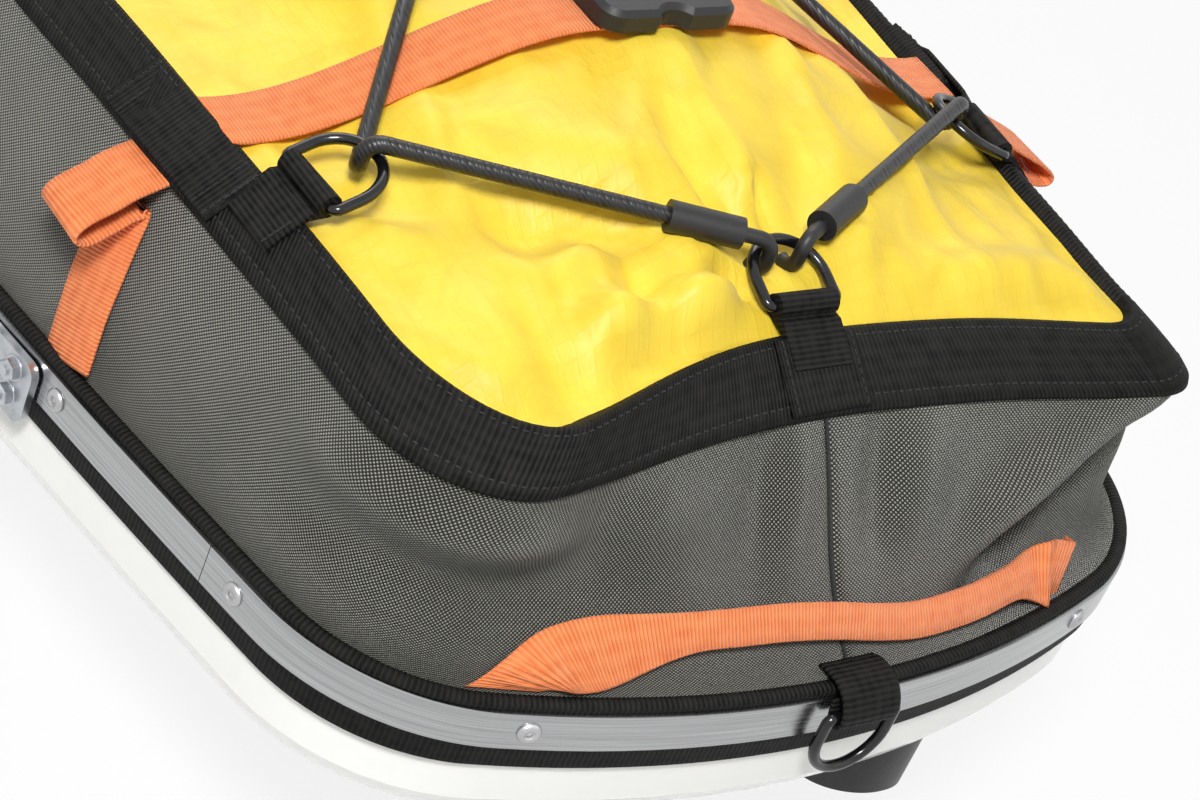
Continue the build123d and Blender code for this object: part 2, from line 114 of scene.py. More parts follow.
def coords(tree, kind, scale):
    source = add(tree, "ShaderNodeTexCoord")
    return add(tree, "ShaderNodeMapping", {"Vector": source.outputs[kind], "Scale": scale}).outputs["Vector"]


def ramp(tree, factor, stops):
    made = add(tree, "ShaderNodeValToRGB", {"Fac": factor})
    elements = made.color_ramp.elements
    while len(elements) < len(stops):
        elements.new(0.5)
    for element, (place, colour) in zip(elements, stops):
        element.position = place
        element.color = (*colour, 1.0)
    return made.outputs["Color"]


def maths(tree, operation, *values):
    made = add(tree, "ShaderNodeMath", dict(enumerate(values)), operation=operation)
    return made.outputs[0]


def speckle(tree, vector, scale, detail, distortion=0.0):
    values = {"Vector": vector, "Scale": scale, "Detail": detail, "Distortion": distortion}
    return add(tree, "ShaderNodeTexNoise", values).outputs["Fac"]


def bumped(tree, bsdf, height, distance):
    made = add(tree, "ShaderNodeBump", {"Height": height, "Distance": distance, "Strength": 1.0})
    tree.links.new(made.outputs["Normal"], bsdf.inputs["Normal"])


def coloured(tree, bsdf, factor, stops):
    tree.links.new(ramp(tree, factor, stops), bsdf.inputs["Base Color"])


def settings(bsdf, **values):
    for key, value in values.items():
        bsdf.inputs[key.replace("_", " ")].default_value = value


def wave(tree, vector, direction, pitch):
    """Sine bands of that pitch in metres along a texture axis."""
    made = add(tree, "ShaderNodeTexWave", {"Vector": vector, "Scale": 0.31416 / pitch},
               wave_type="BANDS", bands_direction=direction, wave_profile="SIN")
    return made.outputs["Fac"]


def webbing_material(name, dark, light, rib, line, sheen, level):
    """Woven tape on its own UVs: ribs across it, fainter lines along it."""
    mat, tree, bsdf = nodes_of(name)
    uv = coords(tree, "UV", (1, 1, 1))
    ribs = wave(tree, uv, "X", rib)
    lines = wave(tree, uv, "Y", line)
    weave = maths(tree, "MULTIPLY_ADD", lines, 0.35, ribs)
    mixed = maths(tree, "MULTIPLY_ADD", weave, 0.45, speckle(tree, uv, 160.0, 4.0))
    coloured(tree, bsdf, mixed, [(0.45, dark), (1.0, light)])
    bumped(tree, bsdf, weave, 0.0004)
    settings(bsdf, Roughness=0.62, Sheen_Weight=sheen, Sheen_Roughness=0.45, Specular_IOR_Level=level)
    return mat


def weave_material():
    """Coarse coated bag cloth: a plain weave of heavy yarns, with painted highlights where a yarn comes up
    and painted shade in the gaps between yarns.
    """
    mat, tree, bsdf = nodes_of("bag_weave")
    uv = coords(tree, "UV", (1, 1, 1))
    warp = wave(tree, uv, "X", 0.0015)
    weft = wave(tree, uv, "Y", 0.00142)
    even = maths(tree, "MULTIPLY", warp, weft)
    odd = maths(tree, "MULTIPLY", maths(tree, "SUBTRACT", 1.0, warp), maths(tree, "SUBTRACT", 1.0, weft))
    cell = maths(tree, "MAXIMUM", even, odd)
    worn = maths(tree, "MULTIPLY_ADD", speckle(tree, uv, 26.0, 5.0), 0.12, 0.19)
    mixed = maths(tree, "MULTIPLY_ADD", cell, 0.6, worn)
    # Painted shade in the gaps between yarns and painted highlights on the yarn tops, following the weave's
    # bump
    painted_shade_gaps = [(0.38, (0.002, 0.002, 0.0015)), (0.55, (0.035, 0.035, 0.028))]
    painted_highlight_yarns = [(0.70, (0.28, 0.276, 0.228)), (0.85, (0.44, 0.435, 0.365))]
    coloured(tree, bsdf, mixed, painted_shade_gaps + painted_highlight_yarns)
    bumped(tree, bsdf, cell, 0.0006)
    settings(bsdf, Roughness=0.5, Sheen_Weight=0.2, Sheen_Roughness=0.4, Specular_IOR_Level=0.4)
    return mat


def ripstop_material():
    """Light coated nylon with a faint ripstop grid and fine crinkles, with painted shade in the crinkles'
    hollows.
    """
    mat, tree, bsdf = nodes_of("cover_ripstop")
    uv = coords(tree, "UV", (1, 1, 1))
    threads = [maths(tree, "POWER", wave(tree, uv, axis, 0.0052), 16.0) for axis in "XY"]
    grid = maths(tree, "MAXIMUM", *threads)
    crinkle = speckle(tree, uv, 42.0, 6.0, 1.2)
    height = maths(tree, "MULTIPLY_ADD", grid, 0.05, crinkle)
    # The colour follows the crinkles' height, which paints shade into their hollows; the grid's threads are
    # a little darker
    painted_crinkle_shade_and_grid = maths(tree, "MULTIPLY_ADD", grid, -0.05, crinkle)
    coloured(tree, bsdf, painted_crinkle_shade_and_grid, [(0.25, (0.78, 0.54, 0.030)), (0.8, (0.92, 0.685, 0.062))])
    bumped(tree, bsdf, height, 0.0011)
    settings(bsdf, Roughness=0.5, Sheen_Weight=0.1)
    return mat


def gelcoat_material():
    """Glossy off-white gelcoat, slightly uneven."""
    mat, tree, bsdf = nodes_of("hull_gelcoat")
    at = coords(tree, "Object", (1, 1, 1))
    stops = [(0.3, (0.87, 0.865, 0.83)), (0.7, (0.90, 0.895, 0.865))]
    coloured(tree, bsdf, speckle(tree, at, 6.0, 3.0), stops)
    bumped(tree, bsdf, speckle(tree, at, 240.0, 2.0), 0.00004)
    settings(bsdf, Roughness=0.22, Coat_Weight=0.5, Coat_Roughness=0.06)
    return mat


def brushed_material(name, base, roughness, streak):
    """Bright metal with brush lines that run level along the part."""
    mat, tree, bsdf = nodes_of(name)
    lines = speckle(tree, coords(tree, "Object", streak), 1.0, 6.0)
    low = tuple(0.66 * channel for channel in base)
    coloured(tree, bsdf, lines, [(0.3, low), (0.7, base)])
    limits = {"Value": lines, "To Min": roughness - 0.08, "To Max": roughness + 0.14}
    worn = add(tree, "ShaderNodeMapRange", limits)
    tree.links.new(worn.outputs["Result"], bsdf.inputs["Roughness"])
    bumped(tree, bsdf, lines, 0.00005)
    settings(bsdf, Metallic=1.0)
    return mat


def moulded_material(name, base, roughness, grain, depth):
    """Moulded plastic with a fine grain."""
    mat, tree, bsdf = nodes_of(name)
    fine = speckle(tree, coords(tree, "Object", (1, 1, 1)), grain, 4.0)
    high = tuple(1.7 * channel for channel in base)
    coloured(tree, bsdf, fine, [(0.35, base), (0.75, high)])
    bumped(tree, bsdf, fine, depth)
    settings(bsdf, Roughness=roughness)
    return mat


def braid_material():
    """Braided sheath of the elastic cord: fine crossed strands."""
    mat, tree, bsdf = nodes_of("cord_braid")
    strands = []
    for turn in (0.7, -0.7):
        source = add(tree, "ShaderNodeTexCoord")
        values = {"Vector": source.outputs["Object"], "Rotation": (turn, turn, turn)}
        turned = add(tree, "ShaderNodeMapping", values)
        strands.append(wave(tree, turned.outputs["Vector"], "DIAGONAL", 0.0013))
    cross = maths(tree, "MAXIMUM", *strands)
    coloured(tree, bsdf, cross, [(0.3, (0.004, 0.004, 0.005)), (1.0, (0.016, 0.016, 0.018))])
    bumped(tree, bsdf, cross, 0.0001)
    settings(bsdf, Roughness=0.36)
    return mat


BLACK = webbing_material(
    "black_webbing", (0.0010, 0.0010, 0.0010), (0.017, 0.0163, 0.0152), 0.0019, 0.0042, 0.0, 0.12)
THREAD = webbing_material(
    "black_thread", (0.010, 0.010, 0.011), (0.030, 0.030, 0.032), 0.0006, 0.0006, 0.1, 0.4)
ORANGE = webbing_material(
    "orange_webbing", (0.80, 0.180, 0.050), (0.97, 0.300, 0.108), 0.0014, 0.0060, 0.15, 0.25)
CLOTH = weave_material()
RIPSTOP = ripstop_material()
GELCOAT = gelcoat_material()
ALUMINIUM = brushed_material("brushed_aluminium", (0.50, 0.505, 0.51), 0.22, (14, 14, 1500))
ZINC = brushed_material("bright_zinc", (0.60, 0.62, 0.65), 0.28, (160, 160, 160))
RIVET = brushed_material("rivet_metal", (0.58, 0.58, 0.59), 0.34, (120, 120, 120))
RUNNER = moulded_material("runner_plastic", (0.010, 0.010, 0.011), 0.42, 320.0, 0.0001)
PLASTIC = moulded_material("matt_plastic", (0.008, 0.008, 0.009), 0.46, 900.0, 0.00006)
GLOSS = moulded_material("gloss_black", (0.004, 0.004, 0.005), 0.18, 500.0, 0.00003)
BRAID = braid_material()

DRESS = {
    "hull": GELCOAT, "runner": RUNNER, "strip": ALUMINIUM, "tape": BLACK, "buckle": PLASTIC,
    "ring": GLOSS, "cord": BRAID, "zinc": ZINC, "bag": CLOTH, "cover": RIPSTOP, "strap": ORANGE,
}
for row in frame["record"]["subparts"]:
    mesh = NODES[row["node"]].data
    mesh.materials.clear()
    mesh.materials.append(DRESS[row["material_slot"]])


# Meshes


def mesh_piece(name, points, faces, uvs, mat, replaced=(), closed=True, flat=False):
    """Piece from points in millimetres, with one (u, v) in metres for each corner of each face."""
    mesh = bpy.data.meshes.new(name)
    mesh.from_pydata([Vector(p) * MM for p in points], [], faces)
    layer = mesh.uv_layers.new(name="UVMap")
    for loop, uv in zip(layer.data, [uv for face in uvs for uv in face]):
        loop.uv = uv
    mesh.materials.append(mat)
    if closed:
        work = bmesh.new()
        work.from_mesh(mesh)
        bmesh.ops.recalc_face_normals(work, faces=work.faces)
        work.to_mesh(mesh)
        work.free()
    for polygon in mesh.polygons:
        polygon.use_smooth = not flat
    piece = bpy.data.objects.new(name, mesh)
    scene.collection.objects.link(piece)
    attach(piece, "root")
    if replaced:
        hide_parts(*replaced)
    return piece


def thicken(piece, thickness):
    """Give a sheet its thickness, inwards."""
    solid = piece.modifiers.new("thickness", "SOLIDIFY")
    solid.thickness, solid.offset = thickness * MM, -1.0


def grid_faces(rows, columns, wrap_columns=False, wrap_rows=False):
    """Faces of a grid of points, and the (row, column) of their corners, unwrapped."""
    faces, corners = [], []
    for i in range(rows if wrap_rows else rows - 1):
        for j in range(columns if wrap_columns else columns - 1):
            i2, j2 = (i + 1) % rows, (j + 1) % columns
            faces.append((i * columns + j, i * columns + j2, i2 * columns + j2, i2 * columns + j))
            corners.append(((i, j), (i, j + 1), (i + 1, j + 1), (i + 1, j)))
    return faces, corners


def lengths(points):
    """Distance along the points in metres, from the first to each."""
    total, out = 0.0, [0.0]
    for a, b in zip(points, points[1:]):
        total += (Vector(b) - Vector(a)).length * MM
        out.append(total)
    return out


def spline(points, count):
    """Samples of a smooth curve through the points."""
    runs = len(points) - 1
    ends = [points[0] * 2 - points[1]] + points + [points[-1] * 2 - points[-2]]
    out = []
    for i in range(count + 1):
        k = min(i * runs // count, runs - 1)
        t = i * runs / count - k
        a, b, c, d = ends[k:k + 4]
        cubic = 3 * b - a - 3 * c + d
        out.append(0.5 * (2 * b + (c - a) * t + (2 * a - 5 * b + 4 * c - d) * t**2 + cubic * t**3))
    return out


SECTION = (  # share of the width, share of the thickness
    (-0.5, 0.2), (-0.46, 0.0), (0.46, 0.0), (0.5, 0.2), (0.5, 0.8), (0.46, 1.0), (-0.46, 1.0), (-0.5, 0.8),
)


class Pieces:
    """Bands of webbing and small turned or boxed pieces, gathered in one mesh."""

    def __init__(self):
        self.points, self.faces, self.uvs = [], [], []

    def band(self, frames, width, thick):
        """Band through (centre of its underside, across, up) frames."""
        base, count = len(self.points), len(SECTION)
        along = lengths([centre for centre, _, _ in frames])
        wide = width if isinstance(width, list) else [width] * len(frames)
        deep = thick if isinstance(thick, list) else [thick] * len(frames)
        for (centre, across, up), w, d in zip(frames, wide, deep):
            self.points += [centre + across * (side * w) + up * (d * rise) for side, rise in SECTION]
        for i in range(len(frames) - 1):
            for j in range(count):
                k, ring = (j + 1) % count, base + i * count
                self.faces.append((ring + j, ring + k, ring + count + k, ring + count + j))
                v0, v1 = SECTION[j][0] * wide[i] * MM, SECTION[k][0] * wide[i] * MM
                self.uvs.append(((along[i], v0), (along[i], v1), (along[i + 1], v1), (along[i + 1], v0)))
        last = base + (len(frames) - 1) * count
        for ring, order in ((base, range(count - 1, -1, -1)), (last, range(count))):
            self.faces.append(tuple(ring + j for j in order))
            self.uvs.append(tuple((SECTION[j][1] * 0.002, SECTION[j][0] * wide[0] * MM) for j in order))

    def turned(self, place, axis, profile, sides):
        """Piece turned about an axis from (radius, height) points, the last of radius zero."""
        base = len(self.points)
        across = axis.orthogonal().normalized()
        other = axis.cross(across)
        for radius, height in profile[:-1]:
            for k in range(sides):
                turn = 2 * math.pi * k / sides
                ring = across * (radius * math.cos(turn)) + other * (radius * math.sin(turn))
                self.points.append(place + ring + axis * height)
        self.points.append(place + axis * profile[-1][1])
        rows = len(profile) - 1
        for i in range(rows - 1):
            for k in range(sides):
                n, ring = (k + 1) % sides, base + i * sides
                self.faces.append((ring + k, ring + n, ring + sides + n, ring + sides + k))
        ring, top = base + (rows - 1) * sides, len(self.points) - 1
        self.faces += [(ring + k, ring + (k + 1) % sides, top) for k in range(sides)]
        self.faces.append(tuple(base + k for k in range(sides - 1, -1, -1)))
        for face in self.faces[len(self.uvs):]:
            self.uvs.append([(self.points[i].x * MM, self.points[i].z * MM) for i in face])

    def box(self, centre, along, up, size):
        """Small box, such as one stitch: its length, breadth and height along a frame."""
        base, across = len(self.points), up.cross(along).normalized()
        long, broad, high = (axis * part for axis, part in zip((along, across, up), size))
        for half, height in ((0.5, 0), (0.3, 1)):
            for a, b in ((-half, -half), (half, -half), (half, half), (-half, half)):
                self.points.append(centre + long * a + broad * b + high * height)
        for face in ((3, 2, 1, 0), (4, 5, 6, 7), (0, 1, 5, 4), (1, 2, 6, 5), (2, 3, 7, 6), (3, 0, 4, 7)):
            self.faces.append(tuple(base + i for i in face))
            self.uvs.append([(0.0, 0.0)] * 4)

    def piece(self, name, mat, slot, replaced=(), flat=False):
        return mesh_piece(name, self.points, self.faces, self.uvs, mat, replaced, flat=flat)


def banded(points, hint):
    """Frames of a band through points whose width lies near the hint."""
    frames = []
    for i, point in enumerate(points):
        run = (points[min(i + 1, len(points) - 1)] - points[max(i - 1, 0)]).normalized()
        across = (hint - run * run.dot(hint)).normalized()
        frames.append((point, across, across.cross(run)))
    return frames


# Outlines of the bag by level


def arcs_meet(end, half, end_radius, side_radius):
    """Place where the end's arc and the side's arc cross."""
    end_centre, side_centre = end - end_radius, half - side_radius
    apart = math.hypot(end_centre, side_centre)
    along = (apart**2 + end_radius**2 - side_radius**2) / (2 * apart)
    across = math.copysign(math.sqrt(end_radius**2 - along**2), end_radius)
    ux, uy = -end_centre / apart, side_centre / apart
    return end_centre + along * ux - across * uy, along * uy + across * ux


def half_breadth(level, x):
    """Distance of a level's side from the keel."""
    inset, radius = LEVELS[level][2], LEVELS[level][4]
    return HALF_BEAM - inset - radius + math.sqrt(radius**2 - x**2)


def end_place(level, y):
    """Distance of a level's end from amidships."""
    setback, radius = LEVELS[level][1], LEVELS[level][3]
    return HALF_LENGTH - setback - radius + math.copysign(math.sqrt(radius**2 - y**2), radius)


END_COUNT, CORNER_COUNT, SIDE_COUNT = 34, 16, 96


def quarter(level, corner):
    """A quarter of a level's outline, from the centre of the end to amidships."""
    setback, inset, end_r, side_r = LEVELS[level][1:]
    fx, fy = arcs_meet(HALF_LENGTH - setback, HALF_BEAM - inset, end_r, side_r)

    def on_end(y):
        return end_place(level, y), y

    def on_side(x):
        return x, half_breadth(level, x)

    end_lie = math.atan2(1.0, -fy / math.copysign(math.sqrt(end_r**2 - fy**2), end_r))
    side_lie = math.atan2(fx / math.sqrt(side_r**2 - fx**2), -1.0)
    turn = side_lie - end_lie
    cut = corner * math.tan(turn / 2)
    y_cut, x_cut = fy - cut * math.sin(end_lie), fx + cut * math.cos(side_lie)
    points = [on_end(y_cut * (i / END_COUNT) ** 1.4) for i in range(END_COUNT)]
    a, b, weight = on_end(y_cut), on_side(x_cut), math.cos(turn / 2)
    for i in range(CORNER_COUNT):
        t = i / CORNER_COUNT
        w0, w1, w2 = (1 - t) ** 2, 2 * t * (1 - t) * weight, t * t
        total = w0 + w1 + w2
        points.append(tuple((w0 * a[k] + w1 * (fx, fy)[k] + w2 * b[k]) / total for k in (0, 1)))
    return points + [on_side(x_cut * (1 - i / SIDE_COUNT)) for i in range(SIDE_COUNT + 1)]


def loop_of(level):
    """Whole outline, anticlockwise from the front centre, at the level's height."""
    quarters = [quarter(level, corner) for corner in CORNERS[level]]
    front_right, rear_right, rear_left, front_left = quarters
    whole = front_right + [(-x, y) for x, y in rear_right[-2::-1]]
    whole += [(-x, -y) for x, y in rear_left[1:]] + [(x, -y) for x, y in front_left[-2:0:-1]]
    return [Vector((x, y, RIM + LEVELS[level][0])) for x, y in whole]


def settle(point, top):
    """Hem as it hangs: low and full at the front left corner, drawn up and sharp at the front right."""
    x, y = point.x, point.y
    slack = bump(math.hypot(x - 660.0, y + 108.0), 0.0, 60.0)
    ear = bump(math.hypot(x - 668.0, y - 156.0), 0.0, 24.0)
    rear = bump(math.hypot(x + 660.0, abs(y) - 130.0), 0.0, 60.0)
    held = max([bump(x, at, 50.0) for at in RINGS + STRAPS] + [bump(y, 0.0, 40.0)])
    lift = 2.0 * rough(x * 0.011, y * 0.011, 4.0) * (1 - held) - 9.5 * slack + 3.0 * ear - 5.0 * rear
    ahead = (11.0 if top else 1.0) * slack + 1.5 * ear
    return point + Vector((ahead, 2.5 * ear, lift))


RIM_LOOP = loop_of("rim")
SKIRT_LOOP = loop_of("skirt")
LOW_LOOP = [settle(p, False) for p in loop_of("hem_low")]
TOP_LOOP = [settle(p, True) for p in loop_of("hem_top")]
COLUMNS = len(RIM_LOOP)
AROUND = lengths(RIM_LOOP + RIM_LOOP[:1])


def rim_normal(j):
    """Level direction out of the rim at a column."""
    run = (RIM_LOOP[(j + 1) % COLUMNS] - RIM_LOOP[j - 1]).normalized()
    return Vector((run.y, -run.x, 0))


# Bag wall

WALL_ROWS, WALL_TURNED = 40, 6
WALL_HEIGHT = 0.090
CORNER_FOLDS = (  # size, height, spread
    (12.0, 0.80, 0.11), (-9.0, 0.56, 0.13), (3.0, 0.28, 0.15),
)
END_FOLDS = (  # place, width, size
    (-28.0, 9.0, -5.5), (-13.0, 7.0, 3.0), (24.0, 8.0, -6.0), (44.0, 11.0, 4.0),
)


def fold(point, t):
    """How far the wall's cloth stands out of its plain shape at a place, in millimetres."""
    x, y = point.x, math.copysign(1.0, point.x) * point.y
    end = smooth(560.0, 640.0, abs(x))
    out = 2.6 * rough(x * 0.012, y * 0.012, t * 0.9 + 7.0) + 1.1 * rough(x * 0.035, y * 0.035, t * 2.2)
    around = math.atan2(-y - 60.0, abs(x) - 590.0)
    corner = bump(around, 0.75, 0.55) * end if y < 0 else 0.0
    out += corner * sum(size * bump(t, height, spread) for size, height, spread in CORNER_FOLDS)
    out -= 12.0 * bump(y, -92.0, 12.0) * bump(t, 0.80, 0.16) * end
    out += 4.5 * bump(y, -64.0, 15.0) * bump(t, 0.72, 0.28) * end
    for place, width, size in END_FOLDS:
        out += size * bump(y + 14.0 * (0.8 - t), place, width) * bump(t, 0.86, 0.30) * end
    drape = 0.30 + (y - 66.0) * 0.0058
    away = smooth(40.0, 95.0, y) * end
    out += away * (12.0 * bump(t, drape + 0.25, 0.12) - 14.0 * bump(t, drape, 0.11))
    out -= away * 10.0 * (1 - smooth(drape - 0.15, drape + 0.04, t))
    out -= 1.8 * bump(y, 0.0, 1.6) * end
    return out * math.sin(math.pi * min(1.0, max(0.0, t))) ** 0.6


def wall_point(j, t):
    """Plain place of the wall in a column, from the rim (0) to under the hem (1) and on to its top (2)."""
    rim, skirt, low, top = RIM_LOOP[j], SKIRT_LOOP[j], LOW_LOOP[j], TOP_LOOP[j]
    if t > 1:
        return low.lerp(top, t - 1)
    start = rim - rim_normal(j) * 2.0 + UP * 2.0
    a, b = start.lerp(skirt, 0.75), skirt.lerp(low, 0.5) + rim_normal(j) * 2.5
    s = 1 - t
    return start * s**3 + a * (3 * s * s * t) + b * (3 * s * t * t) + low * t**3


def build_wall():
    points, rows = [], WALL_ROWS + WALL_TURNED
    for i in range(rows):
        t = i / WALL_ROWS
        for j in range(COLUMNS):
            point = wall_point(j, t)
            away = (rim_normal(j) + UP * 0.35).normalized()
            points.append(point + away * fold(point, t))
    faces, corners = grid_faces(rows, COLUMNS, wrap_columns=True)
    uvs = [[(AROUND[j], WALL_HEIGHT * i / WALL_ROWS) for i, j in face] for face in corners]
    halves = ("bag_left", "bag_right")
    thicken(mesh_piece("bag_wall", points, faces, uvs, CLOTH, halves, closed=False), CLOTH_THICK)
    return points, faces


wall_points, wall_faces = build_wall()


# Seam that joins the two halves of the bag at each end

seams = Pieces()
for j in (0, COLUMNS // 2):
    frames = []
    for i in range(1, WALL_ROWS + 1):
        out = rim_normal(j)
        place = wall_points[i * COLUMNS + j] + out * 0.1
        frames.append((place, Vector((0, 1, 0)), (out + UP).normalized()))
    seams.band(frames, 1.5, 0.9)
seams.piece("end_seams", THREAD, "tape")


# Rim: bound edge of the bag, with a bead on the rim above the strip

BEAD = (  # distance out of the rim, rise over it
    (0.2, -25.0), (1.7, -25.0), (1.7, -0.6), (2.0, 0.3), (2.2, 1.2), (2.0, 2.2), (1.1, 2.9), (-0.6, 3.2),
    (-2.2, 2.9), (-3.2, 2.0), (-3.4, 0.9), (-3.1, 0.3), (0.2, 0.3),
)


def build_binding():
    points = []
    for j in range(COLUMNS):
        away = rim_normal(j)
        points += [RIM_LOOP[j] + away * out + UP * rise for out, rise in BEAD]
    faces, corners = grid_faces(COLUMNS, len(BEAD), wrap_columns=True, wrap_rows=True)
    profile = lengths([Vector((a, b, 0)) for a, b in BEAD + BEAD[:1]])
    uvs = [[(AROUND[i], profile[j]) for i, j in face] for face in corners]
    mesh_piece("rim_bead", points, faces, uvs, BLACK, ("rim_binding",))


build_binding()


# Hem webbing, with tunnel patches over the straps and a patch under each end ring

HEM_PROFILE = (  # share of the way from the lower to the upper edge, height over the wall
    (-0.06, -0.6), (-0.12, 0.8), (-0.07, 2.2), (0.05, 2.9), (0.3, 3.2), (0.6, 3.2), (0.88, 3.0), (1.02, 2.3),
    (1.07, 0.8), (1.06, -2.0), (1.05, -9.0), (0.99, -9.0), (0.98, -1.4), (0.9, -0.2), (0.5, -0.1),
    (0.2, -0.2),
)
HEM_WIDTH = 21.0


def hem_arch(point):
    """Extra height of the hem over a strap that runs under it."""
    if abs(point.y) < 100:
        return 0.0
    return max(2.9 * (1 - smooth(12.0, 21.0, abs(point.x - x))) for x in STRAPS)


def hem_up(low, top, run):
    """Direction out of the hem's face."""
    up = run.cross(top - low).normalized()
    return up if up.z > 0 else -up


def build_hem():
    points = []
    for j in range(COLUMNS):
        low, top = LOW_LOOP[j], TOP_LOOP[j]
        up = hem_up(low, top, LOW_LOOP[(j + 1) % COLUMNS] - LOW_LOOP[j - 1])
        extra = hem_arch(low)
        for share, height in HEM_PROFILE:
            lift = height + (extra if -0.2 < share < 1.04 and height > -0.5 else 0.0)
            points.append(low.lerp(top, share) + up * lift)
    faces, corners = grid_faces(COLUMNS, len(HEM_PROFILE), wrap_columns=True, wrap_rows=True)
    profile = lengths([Vector((a * HEM_WIDTH, b, 0)) for a, b in HEM_PROFILE + HEM_PROFILE[:1]])
    uvs = [[(AROUND[i], profile[j]) for i, j in face] for face in corners]
    mesh_piece("hem_webbing", points, faces, uvs, BLACK, ("hem_band",))


build_hem()


def hem_place(along, side, end):
    """Lower and upper edge and height of the hem at a distance along a side, or along an end."""
    edges = []
    for level, top in (("hem_low", False), ("hem_top", True)):
        z = RIM + LEVELS[level][0]
        if end:
            edges.append(settle(Vector((end * end_place(level, along), along, z)), top))
        else:
            edges.append(settle(Vector((along, side * half_breadth(level, along), z)), top))
    low, top = edges
    up = hem_up(low, top, Vector((0, 1, 0)) if end else Vector((1, 0, 0)))
    return low, top, up, HEM_THICK + hem_arch(low)


patches, stitching = Pieces(), Pieces()


def hem_patch(middle, half, side, end, rows):
    """Second layer of webbing round the hem, sewn down along rows across it."""
    frames = []
    for i in range(21):
        low, top, up, height = hem_place(middle - half + half * i / 10, side, end)
        across = (top - low).normalized()
        frames.append((low.lerp(top, 0.47) + up * (height - 0.5), across, up))
    length = (TOP_LOOP[0] - LOW_LOOP[0]).length if end else 21.3
    patches.band(frames, length * 1.05, 1.9)
    for row in rows:
        low, top, up, height = hem_place(middle + row, side, end)
        slope = (top - low).normalized()
        for k in range(8):
            place = low.lerp(top, 0.02 + 0.13 * k) + up * (height + 1.25)
            stitching.box(place, slope, up, (2.3, 0.7, 0.5))


for side in (-1, 1):
    for x in STRAPS:
        hem_patch(x, 33.0, side, 0, (-30.5, -24.0, 24.0, 30.5))
for end in (-1, 1):
    hem_patch(0.0, 17.0, 0, end, (-15.0, 15.0))
for x in RINGS:
    for side in (-1, 1):
        for row in (-11.0, 11.0):
            low, top, up, _ = hem_place(x + row, side, 0)
            slope = (top - low).normalized()
            for k in range(5):
                stitching.box(low.lerp(top, 0.42 + 0.11 * k) + up * 6.1, slope, up, (2.0, 0.7, 0.4))
walked, stitch_pitch = 0.0, 3.6
for j in range(COLUMNS):
    nxt = (j + 1) % COLUMNS
    a, b = LOW_LOOP[j], LOW_LOOP[nxt]
    step = (b - a).length
    while walked < step:
        low, top = a.lerp(b, walked / step), TOP_LOOP[j].lerp(TOP_LOOP[nxt], walked / step)
        run = (b - a).normalized()
        up = hem_up(low, top, run)
        for place, height in ((0.10, 2.78), (0.92, 2.66)):
            stitching.box(low.lerp(top, place) + up * (height + hem_arch(low)), run, up, (2.2, 0.6, 0.36))
        walked += stitch_pitch
    walked -= step
patches.piece("hem_patches", BLACK, "tape")
stitching.piece("hem_stitching", THREAD, "tape", flat=True)


# Cover

COVER_X, COVER_Y = 260, 96
HEM_PLEATS = (  # start, spread, size
    (12.0, 0.10, 5.0), (21.0, 0.16, -4.5), (31.0, 0.24, 5.0), (43.0, 0.34, -3.5),
)


def tree_of(names):
    """Search tree of some CAD nodes, in millimetres."""
    points, faces = [], []
    for name in names:
        base, node = len(points), NODES[name]
        points += [node.matrix_world @ vertex.co / MM for vertex in node.data.vertices]
        faces += [tuple(base + index for index in polygon.vertices) for polygon in node.data.polygons]
    return BVHTree.FromPolygons(points, faces)


BUCKLES = ["buckle_" + name for name in STRAP_NAMES]
LACING = tree_of(["cord_a", "cord_b", "cord_hooks", "hem_rings", "hem_loops"] + BUCKLES)


def headroom(x, y):
    """Height of the lowest cord, ring or buckle over a place."""
    hit = LACING.ray_cast(Vector((x, y, RIM + 60.0)), UP)[0]
    return hit.z if hit else FAR_ABOVE


def dome(side, end):
    """Rise of the filled cover over the hem at a distance from its sides and ends."""
    return 41.0 * smooth(8.0, 132.0, side) * (1 - (1 - min(1.0, end / 165.0)) ** 2.2)


STRAP_STEPS = 32


def strap_line(x, side):
    """Underside of a strap from the hem's inner edge to the middle, drawn down over the cover."""
    inner = half_breadth("hem_top", x)
    line = []
    for i in range(STRAP_STEPS + 1):
        y = inner * (1 - i / STRAP_STEPS)
        rise = TOP_RISE + 0.5 + dome(inner - y, end_place("hem_top", y) - abs(x))
        line.append(Vector((x, side * y, RIM + rise)))
    room = [min(headroom(x + d, p.y + e) for d in (-13, -6, 0, 6, 13) for e in (-3, 3)) - 2.2 for p in line]
    for _ in range(5):
        heights = [p.z for p in line]
        for i in range(1, STRAP_STEPS):
            line[i].z = min(room[i], 0.5 * heights[i] + 0.25 * (heights[i - 1] + heights[i + 1]))
    return line


STRAP_LINES = {(x, side): strap_line(x, side) for x in STRAPS for side in (-1, 1)}


def strap_over(x, y):
    """Underside of the strap at a place, or far above where there is none; it presses the cloth down."""
    near = min(STRAPS, key=lambda at: abs(x - at))
    aside = abs(x - near)
    if aside > 30:
        return FAR_ABOVE
    line = STRAP_LINES[near, 1 if y > 0 else -1]
    place = (1 - min(1.0, abs(y) / abs(line[0].y))) * STRAP_STEPS
    k = min(int(place), STRAP_STEPS - 1)
    height = line[k].z + (line[k + 1].z - line[k].z) * (place - k)
    return height - 0.7 + 0.5 * max(0.0, aside - 13.5)


